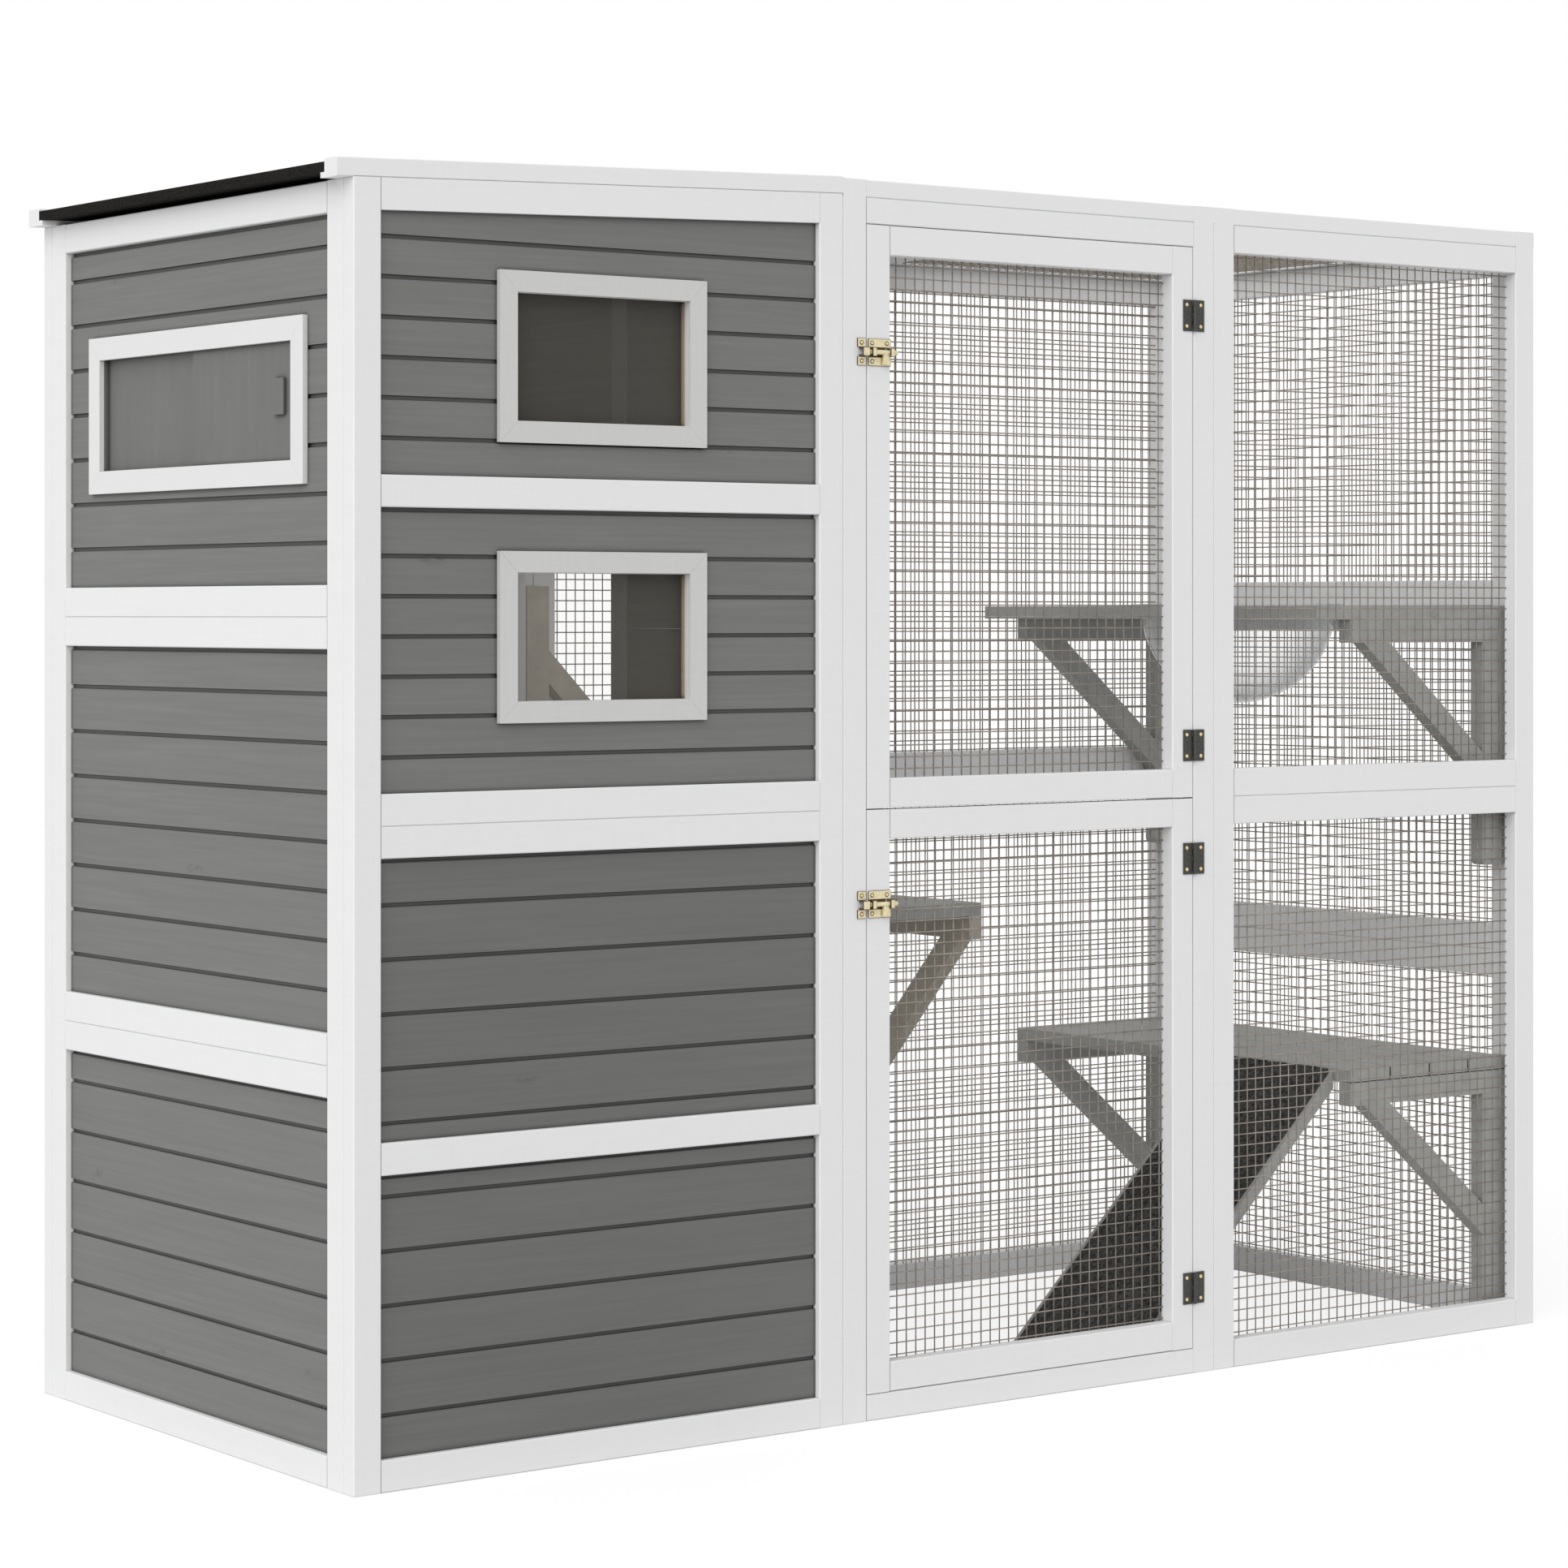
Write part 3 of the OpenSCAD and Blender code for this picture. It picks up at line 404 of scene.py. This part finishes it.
wireFinish = makeMetal("wireMetal", wireMetal)
latchFinish = makeMetal("latchMetal", latchMetal)
latchEdgeAndShadeFinish = makeMetal("latchEdgeAndShade", latchEdgeAndShade)
screwFinish = makeMetal("screwMetal", screwMetal)
pileFinish = makeFelt("rampPile", rampPile)
dress(makeMetal("hingeMetal", hingeMetal), "post_hinge_leaves", "upper_door_hinge_leaves",
      "lower_door_hinge_leaves")
dress(latchFinish, "upper_latch_bolt", "lower_latch_bolt")
dress(makeFelt("roofFelt", roofFelt), "roof_deck")
dress(pileFinish, "ramp_carpet")
dress(makeAcrylic("acrylic", acrylic), "clear_bowl")
dress(makeAcrylic("paneAcrylic", paneAcrylic), "window_panes")
print("metal, felt, carpet and acrylic done")


# the painted lips that line the front of each window opening, measured from the trims' face
windowLip = {"thickness": 0.0006, "front": 0.0058, "back": 0.01}


def lineWindows():
    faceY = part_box("window_trims")[0][1]
    near, far, wall = faceY + windowLip["front"], faceY + windowLip["back"], windowLip["thickness"]
    bm = bmesh.new()
    for low, high in windowOpenings():
        for left, right, bottom, top in ((low[0], low[0] + wall, low[2], high[2]),
                                         (high[0] - wall, high[0], low[2], high[2]),
                                         (low[0] + wall, high[0] - wall, low[2], low[2] + wall),
                                         (low[0] + wall, high[0] - wall, high[2] - wall, high[2])):
            addBlock(bm, (left, near, bottom), (right, far, top))
    addPiece("window_lips", bm, windowFinish, "enclosure")


lineWindows()
print("window lips done")


# wire mesh, with every wire
meshWire = {"diameter": 0.00155, "sides": 6, "layerGap": 1.9, "battenWidth": 0.034,
            "postWidth": 0.068, "frontSpacing": (0.01415, 0.0135),
            "backSpacing": (0.01428, 0.01364), "endSpacing": (0.01388, 0.0136),
            "roofSpacing": (0.01415, 0.01388)}
# for each way that a net can face: the axes across, up and out of it, and the last one's sign
netAxes = {"y": (0, 2, 1, 1), "x": (1, 2, 0, 1), "z": (0, 1, 2, -1)}


def unit(axis, sign=1):
    return Vector([sign if i == axis else 0 for i in range(3)])


def weaveNet(bm, corner, across, width, up, height, out, spacing, first):
    # welded mesh: one layer of wires across, and one up and down that lies against it
    radius = meshWire["diameter"] / 2
    runs = ((across, width, up, height, spacing[1], first[1], 0.0),
            (up, height, across, width, spacing[0], first[0], 1.0))
    for along, length, over, span, pitch, begin, depth in runs:
        offset = begin
        while offset < span - radius:
            start = corner + over * offset + out * depth * radius * meshWire["layerGap"]
            addRod(bm, start, start + along * length, radius, meshWire["sides"])
            offset += pitch


def weavePanels(name, body, node, facing, spacing, panels):
    # panels: a frame node, the width of its timber at left and right, and where its first wires are
    across, up, out, sign = netAxes[facing]
    low, high = (Vector(c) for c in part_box(node))
    middle = (low + high) / 2
    edge = meshWire["battenWidth"]
    bm = bmesh.new()
    for frameNode, side, first in panels:
        boxLow, boxHigh = (Vector(c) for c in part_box(frameNode))
        corner = Vector(boxLow)
        corner[across] += side
        corner[up] += edge
        corner[out] = middle[out]
        weaveNet(bm, corner, unit(across), boxHigh[across] - boxLow[across] - 2 * side,
                 unit(up), boxHigh[up] - boxLow[up] - 2 * edge, unit(out, sign), spacing, first)
    addPiece(name, bm, wireFinish, body, [node], smooth=True)


batten, post = meshWire["battenWidth"], meshWire["postWidth"]
weavePanels("front_mesh", "enclosure", "front_nets", "y", meshWire["frontSpacing"],
            [("run_front_lower_frame", batten, (0.0113, 0.0045)),
             ("run_front_upper_frame", batten, (0.0095, 0.0075))])
weavePanels("back_mesh", "enclosure", "back_nets", "y", meshWire["backSpacing"],
            [("bay_back_lower_frame", post, (0.006, 0.0045)),
             ("bay_back_upper_frame", post, (0.006, 0.002)),
             ("run_back_lower_frame", batten, (0.0085, 0.0045)),
             ("run_back_upper_frame", batten, (0.0075, 0.002))])
weavePanels("end_mesh", "enclosure", "end_nets", "x", meshWire["endSpacing"],
            [("end_lower_frame", batten, (0.012, 0.006)),
             ("end_middle_frame", batten, (0.0125, 0.0055)),
             ("end_upper_frame", batten, (0.0135, 0.008))])
weavePanels("roof_mesh", "enclosure", "roof_nets", "z", meshWire["roofSpacing"],
            [("bay_roof_frame", batten, (0.007, 0.007)),
             ("run_roof_frame", batten, (0.007, 0.007))])
weavePanels("upper_door_mesh", "upper_door", "upper_door_net", "y", meshWire["frontSpacing"],
            [("upper_door_frame", batten, (0.009, 0.01))])
weavePanels("lower_door_mesh", "lower_door", "lower_door_net", "y", meshWire["frontSpacing"],
            [("lower_door_frame", batten, (0.0105, 0.0035))])
print("wire mesh done")


# hinge screws
screwHead = {"sides": 14, "taper": 0.72, "rim": 0.3, "sink": 0.45}
hingeLeaf = {"height": 0.038, "thickness": 0.0012}
hingeScrew = {"radius": 0.0023, "height": 0.0007, "inX": 0.0055, "inZ": 0.006}


def addScrew(bm, place, radius, height):
    # a low tapered head that faces -Y, with a sunken middle
    faces = addDisc(bm, place, screwHead["sides"], radius, radius * screwHead["taper"], height)
    front = mostForward([face for face in faces if len(face.verts) > 4])
    bmesh.ops.inset_individual(bm, faces=[front], thickness=radius * screwHead["rim"],
                               depth=-height * screwHead["sink"])


def hingeMiddles(node):
    low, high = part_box(node)
    return [low[2] + hingeLeaf["height"] / 2, high[2] - hingeLeaf["height"] / 2]


def addHingeScrews(name, body, node, middles, inward):
    # inward: the way along X from the leaves' free edge to their knuckle
    low, high = (Vector(c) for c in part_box(node))
    settings = hingeScrew
    x = (high.x if inward < 0 else low.x) + inward * settings["inX"]
    y = high.y - hingeLeaf["thickness"] - settings["height"] / 2
    reach = hingeLeaf["height"] / 2 - settings["inZ"]
    bm = bmesh.new()
    for middle in middles:
        for z in (middle - reach, middle + reach):
            addScrew(bm, Vector((x, y, z)), settings["radius"], settings["height"])
    addPiece(name, bm, screwFinish, body)


upperHinges = hingeMiddles("upper_door_hinge_leaves")
lowerHinges = hingeMiddles("lower_door_hinge_leaves")
addHingeScrews("post_hinge_screws", "enclosure", "post_hinge_leaves", upperHinges + lowerHinges, -1)
addHingeScrews("upper_door_hinge_screws", "upper_door", "upper_door_hinge_leaves", upperHinges, 1)
addHingeScrews("lower_door_hinge_screws", "lower_door", "lower_door_hinge_leaves", lowerHinges, 1)
print("hinge screws done")


# latches: pressed plates with their straps
latchPlate = {"thickness": 0.0012, "crown": 0.00015, "rim": 0.0005, "stripHeight": 0.0099,
              "strapHeight": 0.0095, "strapWidth": 0.0055, "strapStart": 0.001,
              "wall": 0.0012, "wallEnd": 0.0002, "wallRim": 0.0002,
              "bed": 0.0004, "bedLeft": 0.0004, "bedRight": 0.0075,
              "screwLeft": 0.0052, "screwRight": 0.0062}
latchScrew = {"radius": 0.0019, "height": 0.0005, "stand": 0.0006,
              "ringRadius": 0.0026, "ringHeight": 0.0004, "ringSides": 16}
keeperPlate = {"height": 0.031, "strapWidth": 0.0095, "screwLeft": 0.0058}


def addPlate(bm, low, high, rim):
    # a stamped plate that faces -Y: its cut edges and the rim of its face take the dark edge
    # material, partly the cut metal's own colour and partly painted shade along the bevel and where
    # it meets the wood
    faces = addBlock(bm, low, high)
    front = mostForward(faces)
    useEdgeAndShadeMaterial(faces - {front})
    ring = bmesh.ops.inset_individual(bm, faces=[front], thickness=rim, depth=latchPlate["crown"])
    useEdgeAndShadeMaterial(ring["faces"])


def addStrap(bm, left, right, faceY, middleZ, rise):
    # a flat strap bridged over the bolt, with square shoulders
    half, wall = latchPlate["strapHeight"] / 2, latchPlate["wall"]
    front = faceY - rise
    addPlate(bm, (left, front, middleZ - half), (right, front + wall, middleZ + half),
             latchPlate["rim"])
    for bottom in (middleZ - half, middleZ + half - wall):
        addPlate(bm, (left, front + wall / 2, bottom),
                 (right, faceY - latchPlate["wallEnd"], bottom + wall), latchPlate["wallRim"])


def addRingedScrew(bm, x, faceY, z):
    # the head stands on a dark ring: painted shade in its countersink
    settings = latchScrew
    ringRadius = settings["ringRadius"]
    ringPlace = Vector((x, faceY - settings["ringHeight"] / 2, z))
    useEdgeAndShadeMaterial(addDisc(bm, ringPlace, settings["ringSides"], ringRadius, ringRadius,
                            settings["ringHeight"]))
    addScrew(bm, Vector((x, faceY - settings["stand"], z)), settings["radius"], settings["height"])


def addStrips(bm, left, right, faceY, middleZ, height, screwXs):
    # a plate's upper and lower strip, each with its screws
    strip, front = latchPlate["stripHeight"], faceY - latchPlate["thickness"]
    for bottom in (middleZ - height / 2, middleZ + height / 2 - strip):
        addPlate(bm, (left, front, bottom), (right, faceY, bottom + strip), latchPlate["rim"])
        for x in screwXs:
            addRingedScrew(bm, x, front - latchPlate["crown"], bottom + strip / 2)


def makeLatchPlate(name, body, node):
    low, high = (Vector(c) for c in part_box(node))
    faceY, middleZ = high.y, (low.z + high.z) / 2
    settings = latchPlate
    bm = bmesh.new()
    addStrips(bm, low.x, high.x, faceY, middleZ, high.z - low.z,
              (low.x + settings["screwLeft"], high.x - settings["screwRight"]))
    for left in (low.x + settings["strapStart"], high.x - settings["strapWidth"]):
        addStrap(bm, left, left + settings["strapWidth"], faceY, middleZ, faceY - low.y)
    # a dark bed under the bolt, between the strips: painted shade in the plate's recess
    bed = high.z - middleZ - settings["stripHeight"]
    faces = addBlock(bm, (low.x + settings["bedLeft"], faceY - settings["bed"], middleZ - bed),
                     (high.x - settings["bedRight"], faceY, middleZ + bed))
    useEdgeAndShadeMaterial(faces)
    addPiece(name, bm, latchFinish, body, [node], edgeAndShadeMaterial=latchEdgeAndShadeFinish)


def makeKeepers():
    low, high = (Vector(c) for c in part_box("latch_keepers"))
    height = keeperPlate["height"]
    bm = bmesh.new()
    for middleZ in (low.z + height / 2, high.z - height / 2):
        addStrips(bm, low.x, high.x, high.y, middleZ, height, (low.x + keeperPlate["screwLeft"],))
        addStrap(bm, high.x - keeperPlate["strapWidth"], high.x, high.y, middleZ, high.y - low.y)
    addPiece("keepers", bm, latchFinish, "enclosure", ["latch_keepers"],
             edgeAndShadeMaterial=latchEdgeAndShadeFinish)


makeLatchPlate("upper_latch", "upper_door", "upper_latch_plate")
makeLatchPlate("lower_latch", "lower_door", "lower_latch_plate")
makeKeepers()
print("latches done")


# the lower platform's board joints, and the seam over its front rail: thin dark strips of painted
# shadow in the gaps
platformJoint = {"boards": 4, "width": 0.0019, "low": 0.004, "high": 0.0155, "seam": 0.0011,
                 "proud": 0.00015, "depth": 0.0005}
jointShade = {"dark": linear(24, 23, 21), "pale": linear(36, 35, 33), "scale": 300.0,
              "roughness": 0.9, "metallic": 0.0, "bump": 0.00003, "crease": 0.0}


def paintPlatformJointShadows():
    low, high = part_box("lower_platform")
    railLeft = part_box("lower_brackets")[0][0]
    settings = platformJoint
    front, back = low[1] - settings["proud"], low[1] + settings["depth"]
    half, seam = settings["width"] / 2, settings["seam"] / 2
    bm = bmesh.new()
    for i in range(1, settings["boards"]):
        middle = low[0] + (high[0] - low[0]) * i / settings["boards"]
        addBlock(bm, (middle - half, front, low[2] + settings["low"]),
                 (middle + half, back, low[2] + settings["high"]))
    addBlock(bm, (railLeft, front, low[2] - seam), (high[0], back, low[2] + seam))
    addPiece("platform_joint_shadows", bm, makeMetal("jointShade", jointShade), "enclosure")


paintPlatformJointShadows()
print("platform joints done")


# carpet on the ramp
carpet = {"step": 0.0035, "loop": 0.0016, "grain": 420, "sink": 0.00144, "edge": 0.006,
          "roll": 0.004, "drop": 0.002, "thickness": 0.0022, "foot": 0.0027}


def layCarpet():
    low, high = (Vector(c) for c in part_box("ramp_carpet"))
    length = math.hypot(high.x - low.x, high.z - low.z)
    width = high.y - low.y - 2 * carpet["edge"]
    columns, rows = int(length / carpet["step"]), int(width / carpet["step"])
    bm = bmesh.new()
    bmesh.ops.create_grid(bm, x_segments=columns, y_segments=rows, size=0.5)
    # from the platform's edge down to the ground
    alongRamp = Vector((low.x - high.x, 0, low.z - high.z))
    upward = Vector((-alongRamp.z, 0, alongRamp.x)).normalized()
    if upward.z < 0:
        upward.negate()
    start = Vector((high.x, (low.y + high.y) / 2, high.z))
    for vertex in bm.verts:
        across, along = vertex.co.y * width, vertex.co.x + 0.5
        flat = start + alongRamp * along + Vector((0, across, 0))
        lift = noise.noise(Vector((along * length, across, 0)) * carpet["grain"]) * carpet["loop"]
        # the pile rolls down towards the long edges
        level = min(1.0, (0.5 - abs(vertex.co.y)) * width / carpet["roll"])
        vertex.co = flat + upward * (lift * level - carpet["sink"] - carpet["drop"] * (1 - level))
        vertex.co.z = max(vertex.co.z, carpet["foot"])
    bmesh.ops.recalc_face_normals(bm, faces=bm.faces)
    piece = addPiece("carpet", bm, pileFinish, "enclosure", ["ramp_carpet"],
                     smooth=True)
    thick = piece.modifiers.new("Solidify", "SOLIDIFY")
    thick.thickness = carpet["thickness"]
    thick.offset = -1


layCarpet()
print("carpet done")


# floor, light and camera
stageLook = {"floorSize": 30.0, "floorDrop": 0.0005, "floorLight": 0.8, "floorDiffuse": 0.24,
             "floorBounce": 0.75, "world": 0.62, "sun": 1.75, "sunSoftness": 60.0,
             "sunFrom": (-0.72, -0.47, 0.62)}
viewPoint = {"place": (-3.1086, -3.959875, 0.923), "turn": -35.516, "sensor": 36, "lens": 92.96,
             "shiftX": 0.0951, "shiftY": -0.1082, "clipEnd": 100}


def addSeenRays(tree):
    # 1 for what the camera, a reflection or a clear sheet sees, 0 for light that bounces on
    path = tree.nodes.new("ShaderNodeLightPath")
    mirrored = addMath(tree, "MAXIMUM", path.outputs["Is Camera Ray"],
                       path.outputs["Is Glossy Ray"])
    return addMath(tree, "MAXIMUM", mirrored, path.outputs["Is Transmission Ray"])


def addDiffuse(tree, level):
    diffuse = tree.nodes.new("ShaderNodeBsdfDiffuse")
    diffuse.inputs["Color"].default_value = (level, level, level, 1)
    return diffuse.outputs[0]


def makeFloor():
    bm = bmesh.new()
    bmesh.ops.create_grid(bm, x_segments=1, y_segments=1, size=stageLook["floorSize"] / 2)
    bmesh.ops.translate(bm, vec=(0, 0, -stageLook["floorDrop"]), verts=bm.verts)
    mesh = bpy.data.meshes.new("floor")
    bm.to_mesh(mesh)
    bm.free()
    floor = bpy.data.objects.new("floor", mesh)
    bpy.context.collection.objects.link(floor)
    material = bpy.data.materials.new("floorWhite")
    material.use_nodes = True
    tree = material.node_tree
    tree.nodes.clear()
    # seen, it glows an even white; light bounces from it as from a pale floor
    glow = tree.nodes.new("ShaderNodeEmission")
    glow.inputs["Strength"].default_value = stageLook["floorLight"]
    white = tree.nodes.new("ShaderNodeAddShader")
    tree.links.new(addDiffuse(tree, stageLook["floorDiffuse"]), white.inputs[0])
    tree.links.new(glow.outputs[0], white.inputs[1])
    choice = tree.nodes.new("ShaderNodeMixShader")
    tree.links.new(addSeenRays(tree), choice.inputs[0])
    tree.links.new(addDiffuse(tree, stageLook["floorBounce"]), choice.inputs[1])
    tree.links.new(white.outputs[0], choice.inputs[2])
    output = tree.nodes.new("ShaderNodeOutputMaterial")
    tree.links.new(choice.outputs[0], output.inputs["Surface"])
    mesh.materials.append(material)


def makeWorld():
    world = bpy.data.worlds.new("studio")
    bpy.context.scene.world = world
    world.use_nodes = True
    tree = world.node_tree
    background = tree.nodes["Background"]
    extra = addMath(tree, "MULTIPLY", addSeenRays(tree), 1.0 - stageLook["world"])
    level = addMath(tree, "ADD", extra, stageLook["world"])
    background.inputs["Color"].default_value = (1, 1, 1, 1)
    tree.links.new(level, background.inputs["Strength"])


def makeSun():
    lamp = bpy.data.lights.new("sun", "SUN")
    lamp.energy = stageLook["sun"]
    lamp.angle = math.radians(stageLook["sunSoftness"])
    sun = bpy.data.objects.new("sun", lamp)
    sun.rotation_euler = Vector(stageLook["sunFrom"]).to_track_quat("Z", "Y").to_euler()
    bpy.context.collection.objects.link(sun)


def makeCamera():
    data = bpy.data.cameras.new("camera")
    data.sensor_width = viewPoint["sensor"]
    data.lens = viewPoint["lens"]
    data.shift_x = viewPoint["shiftX"]
    data.shift_y = viewPoint["shiftY"]
    data.clip_end = viewPoint["clipEnd"]
    camera = bpy.data.objects.new("camera", data)
    camera.location = viewPoint["place"]
    camera.rotation_euler = (math.radians(90), 0, math.radians(viewPoint["turn"]))
    bpy.context.collection.objects.link(camera)
    bpy.context.scene.camera = camera


makeFloor()
makeWorld()
makeSun()
makeCamera()
bpy.context.scene.view_settings.view_transform = "Standard"
print("floor, light and camera done")
